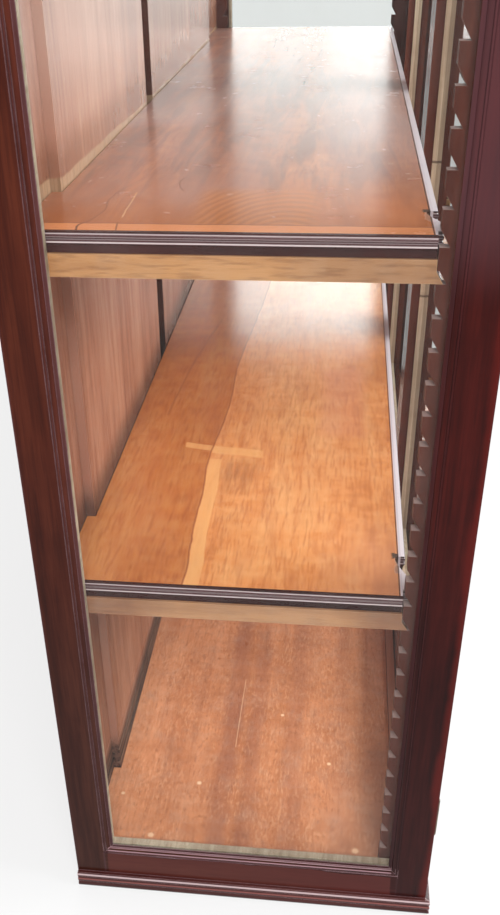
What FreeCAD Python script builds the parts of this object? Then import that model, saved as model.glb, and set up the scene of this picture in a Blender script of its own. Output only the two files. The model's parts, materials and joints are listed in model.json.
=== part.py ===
import FreeCAD, Part
import os

V = FreeCAD.Vector
X, Y, Z = V(1, 0, 0), V(0, 1, 0), V(0, 0, 1)
os.makedirs("parts", exist_ok=True)

# A long glazed display cabinet. Origin in the middle of its foot, +Z up, length along X.
# The doors face -Y, the wooden back faces +Y, and left is -X for someone facing the doors.
# All lengths are millimetres.

# Overall sizes of the carcass, without mouldings
carcass_length = 2096.0
carcass_depth = 600.0
base_height = 33.0
frame_height = 1757.0
top_board_thickness = 22.0

# Cuts run this far past what they cut
overrun = 5.0

# Framed glazing shared by the ends and the doors
sticking_width = 16.0
glass_thickness = 4.0
glass_lap = 8.0
glass_clearance = 0.5
bead_setback = 0.5
bead_fall = 2.0

# End frames
end_thickness = 25.0
end_stile_flat = 50.0
end_rail_flat = 49.0
end_glass_depth = 7.0
end_bead_depth = 14.0

# Moulding worked on the inner edge of a stile or rail: across the moulding, then into the wood
sticking_shares = (
    (0.00, 0.14),
    (0.05, 0.14),
    (0.14, 0.00, 0.23, 0.16),
    (0.23, 0.34),
    (0.29, 0.34),
    (0.29, 0.18),
    (0.53, 0.30, 0.67, 0.70),
    (0.67, 0.82),
    (0.75, 0.82),
    (1.00, 0.90),
    (1.00, 1.00),
)

# Base: a flat frame with a reeded moulding round the front and the ends
base_rail_width = 60.0
base_moulding_projection = 8.0
base_reeds = 3
base_reed_swell = 2.4

# Front rails, each with a stop that the doors close against
front_rail_flat = 49.0
door_stop_height = 10.0
door_stop_depth = 17.0
door_stop_clearance = 1.0

# Doors
door_thickness = 38.0
door_stile_flat = 49.0
door_rail_flat = 50.0
door_glass_depth = 7.0
door_bead_depth = 9.0
door_edge_gap = 2.0
door_meeting_gap = 3.0

# Bottom board and back
bottom_board_thickness = 22.0
bottom_board_top = 73.0
back_frame_thickness = 24.0
back_panel_thickness = 14.0
back_rail_width = 100.0
back_left_stile_width = 215.0
back_right_stile_width = 329.0
back_panel_lap = 33.0
back_panel_gap = 63.0
back_panel_gap_from_left = 818.0
back_muntin_width = 130.0
back_panel_headroom = 40.0

# Cornice: away from the carcass, then up
cornice_height = 75.0
cornice_projection = 30.0
cornice_overlap = 15.0
cornice_shares = (
    (0.20, 0.00),
    (0.20, 0.08),
    (0.30, 0.12, 0.20, 0.17),
    (0.34, 0.44, 0.70, 0.62),
    (0.78, 0.62),
    (0.78, 0.70),
    (0.91, 0.76, 0.96, 0.90),
    (1.00, 0.90),
    (1.00, 1.00),
    (0.00, 1.00),
)

# Sawtooth ratchet strips in the four corners
ratchet_thickness = 16.0
ratchet_pitch = 42.0
ratchet_slant = 20.0
ratchet_notch = 12.0
ratchet_first_ledge = 121.0
front_ratchet_tip_from_face = 82.0
back_ratchet_width = 30.0

# Bearers that drop into the notches
bearer_height = 28.0
bearer_thickness = 15.0
bearer_reach = 8.0
bearer_clearance = 0.5
lower_shelf_ledge_count = 11
upper_shelf_ledge_count = 23

# Shelves
shelf_thickness = 26.0
shelf_end_gap = 1.5
shelf_front_from_face = 76.0
shelf_back_gap = 1.5
shelf_notch_clearance = 1.5
edging_thickness = 7.0
edging_shares = (
    (0.60, 0.00),
    (0.60, 0.30),
    (0.72, 0.30),
    (0.72, 0.38),
    (1.00, 0.49, 0.72, 0.60),
    (0.72, 0.66),
    (1.00, 0.77, 0.72, 0.88),
    (0.80, 1.00),
    (0.00, 1.00),
)
shelf_bite_from_end = 62.0
shelf_bite_width = 45.0
shelf_bite_depth = 16.0
shelf_bite_shares = ((0.00, 0.12), (0.45, 0.70), (0.80, 1.00), (1.00, 0.90))

# Brass butt hinges, two to a door
hinge_height = 76.0
hinge_leaf_width = 26.0
hinge_leaf_thickness = 1.8
hinge_leaf_gap = 0.6
hinge_knuckle_radius = 3.0
hinge_knuckle_stand_off = 0.3
hinge_knuckle_gap = 0.3
hinge_pin_radius = 1.3
hinge_pin_clearance = 0.05
hinge_tip_radius = 2.4
hinge_tip_height = 3.0
hinge_end_distance = 120.0

# Rim lock on the right door, its keeper on the left door, and its key
lock_height_above_foot = 900.0
lock_case_width = 46.0
lock_case_height = 60.0
lock_case_depth = 12.0
lock_wall = 1.5
lock_edge_setback = 1.0
lock_bolt_height = 8.0
lock_bolt_depth = 6.0
lock_bolt_length = 30.0
lock_bolt_rise = 13.0
lock_bolt_clearance = 0.3
lock_keeper_width = 20.0
lock_keeper_height = 30.0
key_from_edge = 27.0
key_shank_radius = 2.5
key_hole_clearance = 0.6
key_bit_radius = 8.0
key_bit_width = 2.4
key_bit_depth = 5.0
key_stem_length = 14.0
key_bow_radius = 10.0
key_bow_hole_radius = 6.0
key_bow_thickness = 2.6
escutcheon_radius = 10.0
escutcheon_thickness = 1.8

# Straight bolts at the top and bottom of the left door
bolt_from_edge = 26.0
bolt_plate_width = 24.0
bolt_plate_length = 80.0
bolt_plate_thickness = 3.0
bolt_bar_width = 8.0
bolt_bar_depth = 5.0
bolt_bar_length = 76.0
bolt_bar_clearance = 0.2
bolt_guide_wall = 2.0
bolt_guide_length = 12.0
bolt_guide_inset = 8.0
bolt_rest_gap = 2.0
bolt_knob_radius = 4.0
bolt_knob_length = 10.0
bolt_mortise_depth = 16.0
bolt_mortise_clearance = 0.6

# Places that several pieces share
end_x = carcass_length / 2
inner_x = end_x - end_thickness
front_y = -carcass_depth / 2
back_y = carcass_depth / 2
frame_bottom = base_height
frame_top = base_height + frame_height
end_sight = end_stile_flat + sticking_width
front_rail_top = frame_bottom + front_rail_flat
head_rail_bottom = frame_top - front_rail_flat
door_inner_y = front_y + door_thickness
stop_face_y = door_inner_y + door_stop_clearance
stop_inner_y = stop_face_y + door_stop_depth
door_bottom = front_rail_top + door_edge_gap
door_top = head_rail_bottom - door_edge_gap
door_outer_x = inner_x - door_edge_gap
door_meeting_x = door_meeting_gap / 2
back_frame_y = back_y - back_frame_thickness
back_panel_y = back_frame_y - back_panel_thickness
back_left_edge = -inner_x + back_left_stile_width
back_right_edge = inner_x - back_right_stile_width
left_panel_start = back_left_edge - back_panel_lap
left_panel_end = -inner_x + back_panel_gap_from_left
right_panel_start = left_panel_end + back_panel_gap
right_panel_end = back_right_edge + back_panel_lap
front_tip_y = front_y + front_ratchet_tip_from_face
front_ratchet_width = front_tip_y - stop_face_y
back_tip_y = back_frame_y - back_ratchet_width
shelf_front_y = front_y + shelf_front_from_face
hinge_y = front_y - hinge_knuckle_radius - hinge_knuckle_stand_off
hinge_x = inner_x - door_edge_gap / 2
sides = (("left", -1), ("right", 1))


def box(x0, x1, y0, y1, z0, z1):
    low = V(min(x0, x1), min(y0, y1), min(z0, z1))
    return Part.makeBox(abs(x1 - x0), abs(y1 - y0), abs(z1 - z0), low)


def rod(start, direction, length, radius):
    return Part.makeCylinder(radius, length, start, direction)


def prism(place, steps, travel):
    """Solid on an outline: a step of two values is a line, and one of four is an arc by its middle."""
    edges = []
    here = steps[0]
    for step in steps[1:] + steps[:1]:
        end = step[-2:]
        if len(step) == 2:
            edges.append(Part.LineSegment(place(*here), place(*end)).toShape())
        else:
            edges.append(Part.Arc(place(*here), place(*step[:2]), place(*end)).toShape())
        here = end
    return Part.Face(Part.Wire(edges)).extrude(travel)


def scaled(shares, across, down, from_across=0.0):
    """Outline steps from a table of shares."""
    steps = []
    for share in shares:
        step = []
        for first, second in zip(share[0::2], share[1::2]):
            step += [from_across + first * across, second * down]
        steps.append(tuple(step))
    return steps


def save(name, *solids):
    shape = solids[0] if len(solids) == 1 else Part.makeCompound(list(solids))
    if not shape.isValid() or shape.Volume <= 0:
        raise ValueError(name + " is not a sound solid")
    shape.exportStep("parts/" + name + ".step")


class Member:
    """One stile or rail of a glazed frame, laid out from its outer corner on the show face."""

    def __init__(self, corner, along, across, inward, length, flat, frame, mitre_from):
        self.corner, self.along, self.across, self.inward = corner, along, across, inward
        self.length, self.flat, self.mitre_from = length, flat, mitre_from
        self.thickness, self.glass_depth, self.bead_depth = frame
        self.sight = flat + sticking_width
        self.rebate_wall = self.sight - glass_lap

    def place(self, run, across, depth):
        return self.corner + self.along * run + self.across * across + self.inward * depth

    def section(self, steps):
        return prism(lambda across, depth: self.place(0, across, depth), steps, self.along * self.length)

    def mitred(self, shape):
        reach = self.mitre_from + sticking_width
        outline = [
            (-overrun, self.flat),
            (self.mitre_from, self.flat),
            (reach, self.sight),
            (reach, self.sight + overrun),
            (-overrun, self.sight + overrun),
        ]
        through = self.inward * (self.thickness + 2 * overrun)
        for origin, way in ((0, 1), (self.length, -1)):
            cutter = prism(lambda run, across: self.place(origin + way * run, across, -overrun), outline, through)
            shape = shape.cut(cutter)
        return shape

    def wood(self):
        steps = [(0, 0), (self.flat, 0)]
        steps += scaled(sticking_shares, sticking_width, self.glass_depth, self.flat)
        steps += [
            (self.rebate_wall, self.glass_depth),
            (self.rebate_wall, self.thickness),
            (0, self.thickness),
        ]
        return self.mitred(self.section(steps))

    def bead(self):
        front = self.glass_depth + glass_thickness
        back = front + self.bead_depth
        steps = [
            (self.rebate_wall, front),
            (self.sight - bead_setback, front),
            (self.sight - bead_fall, back),
            (self.rebate_wall, back),
        ]
        return self.mitred(self.section(steps))


def glazed_frame(corner, across, up, inward, width, height, stile_flat, rail_flat, frame):
    """Two stiles, two rails, the pane and its beads, from the frame's first lower outer corner."""
    far = corner + across * width
    rail_length = width - 2 * stile_flat
    first = Member(corner, up, across, inward, height, stile_flat, frame, rail_flat)
    second = Member(far, up, -across, inward, height, stile_flat, frame, rail_flat)
    rail_start = corner + across * stile_flat
    bottom = Member(rail_start, across, up, inward, rail_length, rail_flat, frame, 0)
    top = Member(rail_start + up * height, across, -up, inward, rail_length, rail_flat, frame, 0)
    inset = sticking_width - glass_lap + glass_clearance
    pane_low = corner + across * (stile_flat + inset) + up * (rail_flat + inset) + inward * frame[1]
    pane_high = pane_low + across * (width - 2 * (stile_flat + inset))
    pane_high += up * (height - 2 * (rail_flat + inset)) + inward * glass_thickness
    pane = box(pane_low.x, pane_high.x, pane_low.y, pane_high.y, pane_low.z, pane_high.z)
    members = (first, second, bottom, top)
    return [member.wood() for member in members] + [pane, [member.bead() for member in members]]


def moulding(corner, along, outward, up, length, outline, projection, height, mitred_ends):
    """A moulding run against the carcass, cut at 45 degrees where it turns a corner."""
    start = corner - along * projection
    if 0 not in mitred_ends:
        start = corner
    finish = corner + along * length
    if 1 in mitred_ends:
        finish += along * projection
    run = prism(lambda out, rise: start + outward * out + up * rise, outline, finish - start)
    corners = [(overrun, -overrun), (-projection - overrun, projection + overrun)]
    corners.append((-projection - 2 * overrun, -overrun))
    for end in mitred_ends:
        origin, way = (0, 1) if end == 0 else (length, -1)
        cutter = prism(
            lambda step, out: corner + along * (origin + way * step) + outward * out - up * overrun,
            corners,
            up * (height + 2 * overrun),
        )
        run = run.cut(cutter)
    return run


def reeded_outline():
    """The base moulding: equal reeds one above another."""
    reed = base_height / base_reeds
    root = base_moulding_projection - base_reed_swell
    steps = [(0, 0), (root, 0)]
    for number in range(base_reeds):
        steps.append((base_moulding_projection, (number + 0.5) * reed, root, (number + 1) * reed))
    return steps + [(0, base_height)]


def build_base():
    save("front_base_moulding", moulding(
        V(-end_x, front_y, 0), X, -Y, Z, carcass_length, reeded_outline(),
        base_moulding_projection, base_height, (0, 1)))
    returns = [
        moulding(V(way * end_x, front_y, 0), Y, X * way, Z, carcass_depth, reeded_outline(),
                 base_moulding_projection, base_height, (0,))
        for name, way in sides
    ]
    save("end_base_mouldings", *returns)
    front_inner = front_y + base_rail_width
    back_inner = back_y - base_rail_width
    rails = [
        box(-end_x, end_x, front_y, front_inner, 0, base_height),
        box(-end_x, end_x, back_inner, back_y, 0, base_height),
    ]
    for start in (-end_x, -base_rail_width / 2, end_x - base_rail_width):
        rails.append(box(start, start + base_rail_width, front_inner, back_inner, 0, base_height))
    save("base_frame_rails", *rails)


def hinge_heights():
    return (door_bottom + hinge_end_distance, door_top - hinge_end_distance)


def hinge_recesses(way, side_of_gap):
    """Shallow seats for the leaves: side_of_gap is 1 in the door and -1 in the end frame."""
    near = hinge_leaf_gap / 2
    seats = []
    for height in hinge_heights():
        seats.append(box(
            way * (hinge_x - side_of_gap * near),
            way * (hinge_x - side_of_gap * (near + hinge_leaf_thickness)),
            front_y - overrun, front_y + hinge_leaf_width,
            height - hinge_height / 2, height + hinge_height / 2))
    return seats


def build_ends():
    frame = (end_thickness, end_glass_depth, end_bead_depth)
    names = ("front_stile", "back_stile", "bottom_rail", "top_rail", "glass")
    beads = []
    for side, way in sides:
        corner = V(way * end_x, front_y, frame_bottom)
        pieces = glazed_frame(corner, Y, Z, X * -way, carcass_depth, frame_height,
                              end_stile_flat, end_rail_flat, frame)
        for seat in hinge_recesses(way, -1):
            pieces[0] = pieces[0].cut(seat)
        for name, piece in zip(names, pieces):
            save(side + "_end_" + name, piece)
        beads += pieces[-1]
    save("end_glazing_beads", *beads)


def front_rail(outer, stop_end, far):
    """Front rail between the ends: outer edge, the edge that meets the doors, the stop's edge."""
    corners = [
        (front_y, outer), (front_y, stop_end), (stop_face_y, stop_end),
        (stop_face_y, far), (stop_inner_y, far), (stop_inner_y, outer),
    ]
    return prism(lambda y, z: V(-inner_x, y, z), corners, X * (2 * inner_x))


def bolt_bar(allowance, low, high):
    """The space of a bolt's bar, grown by an allowance across its width and depth."""
    x = -door_meeting_x - bolt_from_edge
    y = door_inner_y + bolt_plate_thickness + bolt_bar_clearance
    half = bolt_bar_width / 2 + allowance
    return box(x - half, x + half, y - allowance, y + bolt_bar_depth + allowance, low, high)


def build_front_rails():
    kerb_top = front_rail_top + door_stop_height
    head_bottom = head_rail_bottom - door_stop_height
    low_cuts, high_cuts = [], []
    for side, way in sides:
        ratchet_inner = way * (inner_x - ratchet_thickness)
        outside = way * (inner_x + overrun)
        low_cuts.append(box(ratchet_inner, outside, stop_face_y, stop_inner_y + overrun,
                            bottom_board_top, kerb_top + overrun))
        high_cuts.append(box(ratchet_inner, outside, stop_face_y, stop_inner_y + overrun,
                             head_bottom - overrun, head_rail_bottom))
    low_cuts.append(bolt_bar(bolt_mortise_clearance, kerb_top - bolt_mortise_depth,
                             kerb_top + overrun))
    high_cuts.append(bolt_bar(bolt_mortise_clearance, head_bottom - overrun,
                              head_bottom + bolt_mortise_depth))
    save("front_bottom_rail", front_rail(frame_bottom, front_rail_top, kerb_top).cut(low_cuts))
    save("front_top_rail", front_rail(frame_top, head_rail_bottom, head_bottom).cut(high_cuts))


def build_boards():
    low = bottom_board_top - bottom_board_thickness
    save("bottom_board", box(-inner_x, inner_x, stop_inner_y, back_frame_y, low, bottom_board_top))
    save("top_board", box(-end_x, end_x, front_y, back_y, frame_top, frame_top + top_board_thickness))


def build_back():
    for name, start, end in (("left", -inner_x, back_left_edge), ("right", back_right_edge, inner_x)):
        save("back_" + name + "_stile", box(start, end, back_frame_y, back_y, frame_bottom, frame_top))
    low_top = frame_bottom + back_rail_width
    high_bottom = frame_top - back_rail_width
    save("back_bottom_rail",
         box(back_left_edge, back_right_edge, back_frame_y, back_y, frame_bottom, low_top))
    save("back_top_rail",
         box(back_left_edge, back_right_edge, back_frame_y, back_y, high_bottom, frame_top))
    gap_middle = (left_panel_end + right_panel_start) / 2
    save("back_muntin",
         box(gap_middle - back_muntin_width / 2, gap_middle + back_muntin_width / 2,
             back_frame_y, back_y, low_top, high_bottom))
    panel_top = frame_top - back_panel_headroom
    for name, start, end in (("left", left_panel_start, left_panel_end),
                             ("right", right_panel_start, right_panel_end)):
        save("back_" + name + "_panel",
             box(start, end, back_panel_y, back_frame_y, bottom_board_top, panel_top))


def build_cornice():
    outline = [(0, 0)] + scaled(cornice_shares, cornice_projection, cornice_height)
    foot = frame_top - cornice_overlap
    save("front_cornice", moulding(
        V(-end_x, front_y, foot), X, -Y, Z, carcass_length, outline,
        cornice_projection, cornice_height, (0, 1)))
    returns = [
        moulding(V(way * end_x, front_y, foot), Y, X * way, Z, carcass_depth, outline,
                 cornice_projection, cornice_height, (0,))
        for name, way in sides
    ]
    save("end_cornices", *returns)


def ledge(number):
    return ratchet_first_ledge + number * ratchet_pitch


def ratchet(way, tip_y, facing, width):
    """Sawtooth strip: flat ledges that face up, each under a slanted return to the next tip."""
    steps = [(-width, bottom_board_top), (0, bottom_board_top)]
    number = 0
    while ledge(number) + ratchet_pitch <= head_rail_bottom:
        steps.append((0, ledge(number)))
        steps.append((-ratchet_notch, ledge(number)))
        steps.append((0, ledge(number) + ratchet_slant))
        number += 1
    steps += [(0, head_rail_bottom), (-width, head_rail_bottom)]
    return prism(lambda out, z: V(way * inner_x, tip_y + facing * out, z), steps,
                 X * (-way * ratchet_thickness))


def build_ratchets():
    for side, way in sides:
        save("front_" + side + "_ratchet", ratchet(way, front_tip_y, 1, front_ratchet_width))
        save("back_" + side + "_ratchet", ratchet(way, back_tip_y, -1, back_ratchet_width))


def build_bearers():
    """Each bearer spans a pair of ratchets, its ends sloped to drop into the notches."""
    front_root = front_tip_y - bearer_reach
    back_root = back_tip_y + bearer_reach
    bevel = (bearer_reach + bearer_clearance) * ratchet_slant / ratchet_notch
    front_face = front_tip_y + bearer_clearance
    back_face = back_tip_y - bearer_clearance
    for name, notch in (("lower", lower_shelf_ledge_count), ("upper", upper_shelf_ledge_count)):
        seat = ledge(notch)
        corners = [
            (front_root, seat), (back_root, seat),
            (back_face, seat + bevel), (back_face, seat + bearer_height),
            (front_face, seat + bearer_height), (front_face, seat + bevel),
        ]
        solids = [
            prism(lambda y, z: V(way * inner_x, y, z), corners, X * (-way * bearer_thickness))
            for side, way in sides
        ]
        save(name + "_shelf_bearers", *solids)


def shelf_cutters(low, high):
    """What is cut out of a shelf for the ratchets, the back panels and the worn bite in its edge."""
    low, high = low - overrun, high + overrun
    gap = shelf_notch_clearance
    cutters = []
    for side, way in sides:
        inner = way * (inner_x - ratchet_thickness - gap)
        outer = way * (inner_x + overrun)
        cutters.append(box(inner, outer, shelf_front_y - overrun, front_tip_y + gap, low, high))
        cutters.append(box(inner, outer, back_tip_y - gap, back_y, low, high))
    cutters.append(box(left_panel_start - gap, right_panel_end + gap,
                       back_panel_y - shelf_back_gap, back_y, low, high))
    bite_start = -inner_x + shelf_bite_from_end
    outline = [(0, -overrun)]
    outline += scaled(shelf_bite_shares, shelf_bite_width, shelf_bite_depth)
    outline.append((shelf_bite_width, -overrun))
    cutters.append(prism(lambda run, depth: V(bite_start + run, shelf_front_y + depth, low),
                         outline, Z * (high - low)))
    return cutters


def build_shelves():
    outline = [(0, 0)] + scaled(edging_shares, edging_thickness, shelf_thickness)
    end = inner_x - shelf_end_gap
    core_end = end - edging_thickness
    core_front = shelf_front_y + edging_thickness
    core_back = back_frame_y - shelf_back_gap
    for name, notch in (("lower", lower_shelf_ledge_count), ("upper", upper_shelf_ledge_count)):
        low = ledge(notch) + bearer_height
        high = low + shelf_thickness
        board = box(-core_end, core_end, core_front, core_back, low, high)
        strips = [moulding(V(-core_end, core_front, low), X, -Y, Z, 2 * core_end, outline,
                           edging_thickness, shelf_thickness, (0, 1))]
        for side, way in sides:
            strips.append(moulding(V(way * core_end, core_front, low), Y, X * way, Z,
                                   core_back - core_front, outline,
                                   edging_thickness, shelf_thickness, (0,)))
        cutters = shelf_cutters(low, high)
        save(name + "_shelf_board", board.cut(cutters))
        save(name + "_shelf_edging", *[strip.cut(cutters) for strip in strips])


def lock_holes():
    """Keyhole through the right meeting stile, round with a slot below."""
    x = door_meeting_x + key_from_edge
    start = V(x, front_y - overrun, lock_height_above_foot)
    length = door_thickness + 2 * overrun
    radius = key_shank_radius + key_hole_clearance
    half_slot = key_bit_width / 2 + key_hole_clearance
    slot_foot = lock_height_above_foot - key_bit_radius - key_hole_clearance
    slot = box(x - half_slot, x + half_slot, front_y - overrun, front_y - overrun + length,
               slot_foot, lock_height_above_foot)
    return rod(start, Y, length, radius).fuse(slot)


def build_doors():
    frame = (door_thickness, door_glass_depth, door_bead_depth)
    names = ("hinge_stile", "meeting_stile", "bottom_rail", "top_rail", "glass")
    width = door_outer_x - door_meeting_x
    for side, way in sides:
        corner = V(way * door_outer_x, front_y, door_bottom)
        pieces = glazed_frame(corner, X * -way, Z, Y, width, door_top - door_bottom,
                              door_stile_flat, door_rail_flat, frame)
        for seat in hinge_recesses(way, 1):
            pieces[0] = pieces[0].cut(seat)
        if side == "right":
            pieces[1] = pieces[1].cut(lock_holes())
        for name, piece in zip(names, pieces):
            save(side + "_door_" + name, piece)
        save(side + "_door_glazing_beads", *pieces[-1])


def hinge_leaf(way, side_of_gap, height):
    """One leaf with its knuckles. The end frame's leaf has the outer knuckles and the pin."""
    low = height - hinge_height / 2
    share = hinge_height / 3
    near = side_of_gap * hinge_leaf_gap / 2
    far = near + side_of_gap * hinge_leaf_thickness
    axis = V(way * hinge_x, hinge_y, 0)
    solid = box(way * (hinge_x - near), way * (hinge_x - far), front_y, front_y + hinge_leaf_width,
                low, low + hinge_height)
    knuckles = ((low, share), (low + 2 * share, share))
    if side_of_gap > 0:
        knuckles = ((low + share + hinge_knuckle_gap, share - 2 * hinge_knuckle_gap),)
    for start, length in knuckles:
        solid = solid.fuse(box(way * (hinge_x - near), way * (hinge_x - far), hinge_y, front_y,
                               start, start + length))
        solid = solid.fuse(rod(axis + Z * start, Z, length, hinge_knuckle_radius))
    if side_of_gap > 0:
        bore = rod(axis + Z * low, Z, hinge_height, hinge_pin_radius + hinge_pin_clearance)
        return solid.cut(bore).removeSplitter()
    solid = solid.fuse(rod(axis + Z * low, Z, hinge_height, hinge_pin_radius))
    solid = solid.fuse(rod(axis + Z * low, -Z, hinge_tip_height, hinge_tip_radius))
    solid = solid.fuse(rod(axis + Z * (low + hinge_height), Z, hinge_tip_height, hinge_tip_radius))
    return solid.removeSplitter()


def build_hinges():
    frame_leaves = []
    for side, way in sides:
        frame_leaves += [hinge_leaf(way, -1, height) for height in hinge_heights()]
        save(side + "_door_hinge_leaves", *[hinge_leaf(way, 1, height) for height in hinge_heights()])
    save("frame_hinge_leaves", *frame_leaves)


def build_lock():
    edge = door_meeting_x + lock_edge_setback
    middle = lock_height_above_foot
    inner_face = door_inner_y + lock_case_depth
    case = box(edge, edge + lock_case_width, door_inner_y, inner_face,
               middle - lock_case_height / 2, middle + lock_case_height / 2)
    cavity = box(edge + lock_wall, edge + lock_case_width - lock_wall,
                 door_inner_y - overrun, inner_face - lock_wall,
                 middle - lock_case_height / 2 + lock_wall, middle + lock_case_height / 2 - lock_wall)
    bolt_y = door_inner_y + lock_wall + lock_bolt_clearance
    bolt_z = middle + lock_bolt_rise - lock_bolt_height / 2
    slack = lock_bolt_clearance
    passage = box(-lock_keeper_width - overrun, edge + lock_wall + overrun,
                  bolt_y - slack, bolt_y + lock_bolt_depth + slack,
                  bolt_z - slack, bolt_z + lock_bolt_height + slack)
    save("lock_case", case.cut(cavity).cut(passage))
    save("lock_bolt", box(edge + slack, edge + slack + lock_bolt_length,
                          bolt_y, bolt_y + lock_bolt_depth, bolt_z, bolt_z + lock_bolt_height))
    keeper = box(-edge - lock_keeper_width, -edge, door_inner_y, inner_face,
                 bolt_z + (lock_bolt_height - lock_keeper_height) / 2,
                 bolt_z + (lock_bolt_height + lock_keeper_height) / 2)
    save("lock_keeper", keeper.cut(passage))

    x = door_meeting_x + key_from_edge
    plate = rod(V(x, front_y - escutcheon_thickness, middle), Y, escutcheon_thickness, escutcheon_radius)
    save("keyhole_escutcheon", plate.cut(lock_holes()))

    bit_end = inner_face - lock_wall - slack
    stem_start = front_y - escutcheon_thickness - key_stem_length
    key = rod(V(x, stem_start, middle), Y, bit_end - stem_start, key_shank_radius)
    key = key.fuse(box(x - key_bit_width / 2, x + key_bit_width / 2, bit_end - key_bit_depth, bit_end,
                       middle - key_bit_radius, middle))
    bow_middle = V(x - key_bow_thickness / 2, stem_start - key_bow_hole_radius, middle)
    bow = rod(bow_middle, X, key_bow_thickness, key_bow_radius)
    bow_hole = rod(bow_middle, X, key_bow_thickness, key_bow_hole_radius)
    save("door_key", key.fuse(bow.cut(bow_hole)).removeSplitter())


def build_bolts():
    """Straight bolts on the inner face of the left door, one shooting down and one up."""
    x = -door_meeting_x - bolt_from_edge
    face = door_inner_y + bolt_plate_thickness
    bar_face = face + bolt_bar_clearance + bolt_bar_depth
    guide_face = bar_face + bolt_bar_clearance + bolt_guide_wall
    guide_half = bolt_bar_width / 2 + bolt_bar_clearance + bolt_guide_wall
    guides = []
    for name, stop, way in (
        ("bottom", front_rail_top + door_stop_height, 1),
        ("top", head_rail_bottom - door_stop_height, -1),
    ):
        tip = stop + way * bolt_rest_gap
        foot = tip + way * bolt_rest_gap
        head = foot + way * bolt_plate_length
        guide = box(x - bolt_plate_width / 2, x + bolt_plate_width / 2, door_inner_y, face, foot, head)
        for inset in (bolt_guide_inset, bolt_plate_length - bolt_guide_inset - bolt_guide_length):
            start = foot + way * inset
            guide = guide.fuse(box(x - guide_half, x + guide_half, face, guide_face,
                                   start, start + way * bolt_guide_length))
        guides.append(guide.cut(bolt_bar(bolt_bar_clearance, foot, head)).removeSplitter())
        knob = rod(V(x, bar_face, foot + way * bolt_plate_length / 2), Y, bolt_knob_length,
                   bolt_knob_radius)
        save(name + "_bolt", bolt_bar(0, tip, tip + way * bolt_bar_length).fuse(knob))
    save("door_bolt_guides", *guides)


build_base()
build_ends()
build_front_rails()
build_boards()
build_back()
build_cornice()
build_ratchets()
build_bearers()
build_shelves()
build_doors()
build_hinges()
build_lock()
build_bolts()
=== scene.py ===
import json
import math

import bpy
from mathutils import Matrix, Vector


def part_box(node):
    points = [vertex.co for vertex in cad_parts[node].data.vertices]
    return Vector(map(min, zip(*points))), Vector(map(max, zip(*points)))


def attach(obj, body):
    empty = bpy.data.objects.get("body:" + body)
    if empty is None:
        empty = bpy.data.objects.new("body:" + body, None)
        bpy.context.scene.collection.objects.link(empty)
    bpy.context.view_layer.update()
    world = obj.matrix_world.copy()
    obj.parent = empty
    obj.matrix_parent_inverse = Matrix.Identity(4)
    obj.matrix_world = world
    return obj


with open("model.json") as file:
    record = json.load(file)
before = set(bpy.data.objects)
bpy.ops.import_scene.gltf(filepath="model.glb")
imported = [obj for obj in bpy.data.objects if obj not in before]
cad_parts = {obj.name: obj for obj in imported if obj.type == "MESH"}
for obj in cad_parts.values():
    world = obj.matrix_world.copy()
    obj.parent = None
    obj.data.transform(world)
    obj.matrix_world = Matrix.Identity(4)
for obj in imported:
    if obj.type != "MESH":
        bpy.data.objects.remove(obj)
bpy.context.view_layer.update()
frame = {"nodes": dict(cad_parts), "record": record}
NODES = frame["nodes"]

# Places that the looks are laid out from. All lengths are metres.
LEFT_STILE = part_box("left_end_front_stile")
LEFT_FACE = LEFT_STILE[0].x
FRONT_FACE = LEFT_STILE[0].y
FRAME_BOTTOM = LEFT_STILE[0].z
LOWER_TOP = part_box("lower_shelf_board")[1].z
UPPER_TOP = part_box("upper_shelf_board")[1].z
FLOOR_BOARD_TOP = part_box("bottom_board")[1].z
SHELF_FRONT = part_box("upper_shelf_edging")[0].y
STOP_START = FRONT_FACE + 0.040
ABOVE_STOP = 0.10
END_RAIL_FLAT = 0.049
HALF_BETWEEN_STILES = 0.240

# Light inside the cabinet and on the doors' beads, which shade() allows for; the doors' beads are
# painted paler to make up for their weaker light
INSIDE_LIGHT = 1.15
DOOR_BEAD_LIGHT = 0.6
BRIGHTEST_PAINT = 0.86

# Scales of the noises, larger numbers being finer
FIGURE_SCALE = 7.0
STREAK_SCALE = 60.0
RIPPLE_SCALE = 42.0
PORE_SCALE = 210.0
PATCH_SCALE = 3.0
DUST_SCALE = 26.0
SPECK_SCALE = 260.0
SHEEN_SCALE = 14.0
WEAR_SCALE = 35.0
TARNISH_SCALE = 60.0

# Dark, middle and light tone of each wood, as the surface's own colour
DOOR_TONES = ((0.036, 0.0075, 0.0035), (0.085, 0.0195, 0.0090), (0.130, 0.0340, 0.0160))
FRAME_TONES = ((0.021, 0.0035, 0.0020), (0.056, 0.0095, 0.0042), (0.090, 0.0180, 0.0080))
MOULDING_TONES = ((0.022, 0.0050, 0.0045), (0.050, 0.0120, 0.0105), (0.080, 0.0210, 0.0185))
EDGING_TONES = ((0.018, 0.0035, 0.0030), (0.040, 0.0085, 0.0075), (0.068, 0.0170, 0.0150))
RATCHET_TONES = ((0.055, 0.0120, 0.0070), (0.105, 0.0255, 0.0150), (0.150, 0.0440, 0.0280))
CARCASS_TONES = ((0.20, 0.11, 0.06), (0.32, 0.19, 0.11), (0.43, 0.28, 0.17))
BACK_FRAME_TONES = ((0.05, 0.018, 0.011), (0.11, 0.040, 0.026), (0.18, 0.075, 0.05))

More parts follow.
